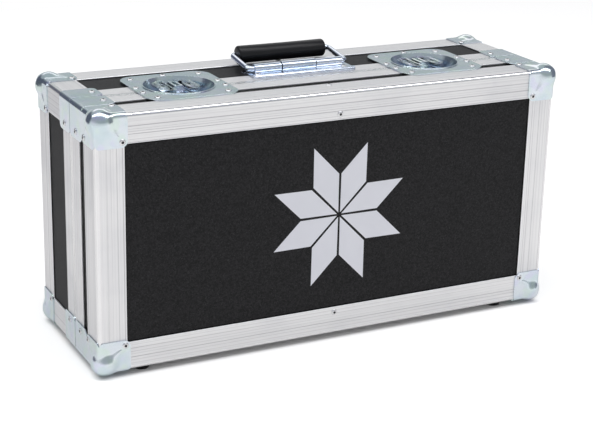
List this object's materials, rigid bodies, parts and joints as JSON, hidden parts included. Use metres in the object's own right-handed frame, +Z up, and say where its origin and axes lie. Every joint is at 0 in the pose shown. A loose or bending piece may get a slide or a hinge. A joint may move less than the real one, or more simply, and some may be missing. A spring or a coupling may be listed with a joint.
{
  "type": "guitar pedal case",
  "caption": "Hard-sided flight case for guitar effect pedals: black laminate board in aluminium edge bars, ball corners, recessed butterfly latches, folding handle, hinged lid.",
  "frame": {"origin": "on the floor under the middle of the case, which stands on its hinge side", "axes": "+X along the width to the viewer's right, +Y from the lid to the back, +Z up to the handle side"},
  "size_m": [0.53, 0.182, 0.2894],
  "materials": {
    "aluminium_bar": "mill finish, fine lengthwise ribs",
    "black_laminate": "fine grained laminate on board",
    "zinc_steel": "bright zinc plate",
    "chromed_steel": "bright plate",
    "rivet_aluminium": "bright",
    "black_rubber": "satin moulded rubber",
    "foam": "open cell foam"
  },
  "bodies": {
    "base": {"base_back_bar_bottom": "aluminium_bar", "base_back_bar_left": "aluminium_bar", "base_back_bar_right": "aluminium_bar", "base_back_bar_top": "aluminium_bar", "base_ball_corners": "zinc_steel", "base_corner_braces": "zinc_steel", "base_depth_bars": "aluminium_bar", "base_feet": "black_rubber", "base_foam": "foam", "base_hinge_leaves": "zinc_steel", "base_panel_back": "black_laminate", "base_panel_bottom": "black_laminate", "base_panel_ends": "black_laminate", "base_panel_top": "black_laminate", "base_rim_bottom": "aluminium_bar", "base_rim_ends": "aluminium_bar", "base_rim_top": "aluminium_bar", "base_rivets": "rivet_aluminium", "latch_dish_left": "zinc_steel", "latch_dish_right": "zinc_steel", "handle_bracket": "chromed_steel", "hinge_pins": "zinc_steel"},
    "lid": {"lid_ball_corners": "zinc_steel", "lid_corner_braces": "zinc_steel", "lid_depth_bars": "aluminium_bar", "lid_feet": "black_rubber", "lid_foam": "foam", "lid_front_bar_bottom": "aluminium_bar", "lid_front_bar_left": "aluminium_bar", "lid_front_bar_right": "aluminium_bar", "lid_front_bar_top": "aluminium_bar", "lid_hinge_leaves": "zinc_steel", "lid_panel_bottom": "black_laminate", "lid_panel_ends": "black_laminate", "lid_panel_front": "black_laminate", "lid_panel_top": "black_laminate", "lid_rim_bottom": "aluminium_bar", "lid_rim_ends": "aluminium_bar", "lid_rim_top": "aluminium_bar", "lid_rivets": "rivet_aluminium", "latch_keeper_left": "zinc_steel", "latch_keeper_right": "zinc_steel"},
    "handle": {"handle_bail": "chromed_steel", "handle_grip": "black_rubber"},
    "left_rotor": {"latch_rotor_left": "zinc_steel", "latch_wing_pins_left": "zinc_steel"},
    "left_wing_a": {"latch_wing_left_a": "zinc_steel"},
    "left_wing_b": {"latch_wing_left_b": "zinc_steel"},
    "left_draw": {"latch_draw_plate_left": "zinc_steel", "latch_hook_pin_left": "zinc_steel"},
    "left_hook": {"latch_hook_left": "zinc_steel"},
    "right_rotor": {"latch_rotor_right": "zinc_steel", "latch_wing_pins_right": "zinc_steel"},
    "right_wing_a": {"latch_wing_right_a": "zinc_steel"},
    "right_wing_b": {"latch_wing_right_b": "zinc_steel"},
    "right_draw": {"latch_draw_plate_right": "zinc_steel", "latch_hook_pin_right": "zinc_steel"},
    "right_hook": {"latch_hook_right": "zinc_steel"}
  },
  "joints": [
    {"name": "lid_hinge", "type": "hinge", "parent": "base", "child": "lid", "pos_m": [0, -0.018, 0.0032], "axis": [1, 0, 0], "range_deg": [0, 110]},
    {"name": "handle_swing", "type": "hinge", "parent": "base", "child": "handle", "pos_m": [0, 0.012, 0.2742], "axis": [1, 0, 0], "range_deg": [0, 95]},
    {"name": "left_latch_turn", "type": "hinge", "parent": "base", "child": "left_rotor", "pos_m": [-0.143, 0, 0.269], "axis": [0, 0, 1], "range_deg": [0, 180]},
    {"name": "left_wing_a_fold", "type": "hinge", "parent": "left_rotor", "child": "left_wing_a", "pos_m": [-0.1462, 0, 0.2681], "axis": [0, 1, 0], "range_deg": [0, 90]},
    {"name": "left_wing_b_fold", "type": "hinge", "parent": "left_rotor", "child": "left_wing_b", "pos_m": [-0.1398, 0, 0.2681], "axis": [0, -1, 0], "range_deg": [0, 90]},
    {"name": "left_draw_slide", "type": "slide", "parent": "base", "child": "left_draw", "axis": [0, 1, 0], "range_m": [0, 0.00501]},
    {"name": "left_hook_dip", "type": "hinge", "parent": "left_draw", "child": "left_hook", "pos_m": [-0.143, -0.0165, 0.2605], "axis": [1, 0, 0], "range_deg": [0, 13.02]},
    {"name": "right_latch_turn", "type": "hinge", "parent": "base", "child": "right_rotor", "pos_m": [0.143, 0, 0.269], "axis": [0, 0, 1], "range_deg": [0, 180]},
    {"name": "right_wing_a_fold", "type": "hinge", "parent": "right_rotor", "child": "right_wing_a", "pos_m": [0.1398, 0, 0.2681], "axis": [0, 1, 0], "range_deg": [0, 90]},
    {"name": "right_wing_b_fold", "type": "hinge", "parent": "right_rotor", "child": "right_wing_b", "pos_m": [0.1462, 0, 0.2681], "axis": [0, -1, 0], "range_deg": [0, 90]},
    {"name": "right_draw_slide", "type": "slide", "parent": "base", "child": "right_draw", "axis": [0, 1, 0], "range_m": [0, 0.00501]},
    {"name": "right_hook_dip", "type": "hinge", "parent": "right_draw", "child": "right_hook", "pos_m": [0.143, -0.0165, 0.2605], "axis": [1, 0, 0], "range_deg": [0, 13.02]}
  ],
  "couplings": [
    {"joint": "left_draw_slide", "follows": "left_latch_turn", "m_per_rad": 0.0015915},
    {"joint": "left_hook_dip", "follows": "left_latch_turn", "ratio": 0.072222},
    {"joint": "right_draw_slide", "follows": "right_latch_turn", "m_per_rad": 0.0015915},
    {"joint": "right_hook_dip", "follows": "right_latch_turn", "ratio": 0.072222}
  ]
}
